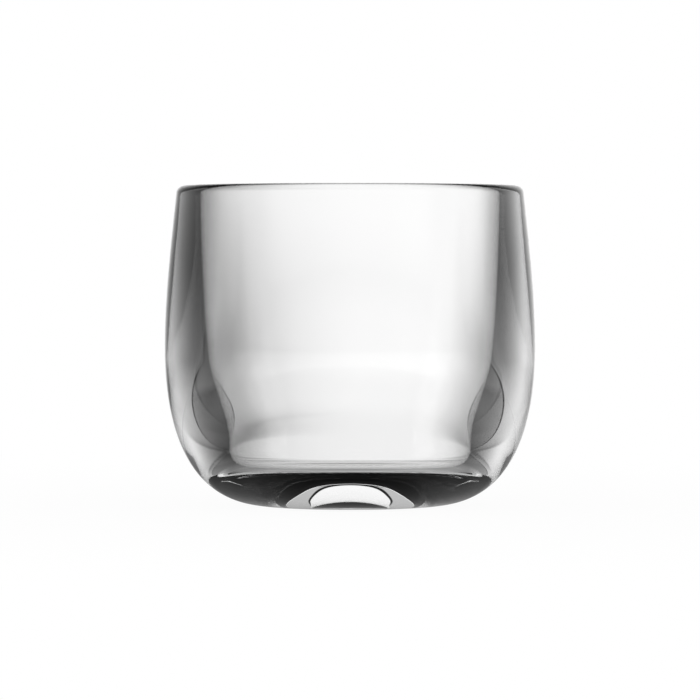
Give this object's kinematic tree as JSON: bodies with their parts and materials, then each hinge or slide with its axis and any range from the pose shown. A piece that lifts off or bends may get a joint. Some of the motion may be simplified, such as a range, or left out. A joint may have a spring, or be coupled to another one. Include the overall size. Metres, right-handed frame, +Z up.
{
  "type": "glass coffee cup",
  "caption": "Small thick-walled clear glass coffee cup with no handle: rounded belly, wide bowl narrowing to a lower well, heavy dished base and a flat foot ring to stand on.",
  "frame": {"origin": "middle of the foot ring, on the plane that the cup stands on", "axes": "+Z up along the axis of revolution; X and Y are alike"},
  "size_m": [0.0702, 0.0702, 0.0606],
  "materials": {
    "clear_glass": "fire-polished clear glass"
  },
  "bodies": {
    "root": {"glass_body": "clear_glass"}
  },
  "joints": []
}
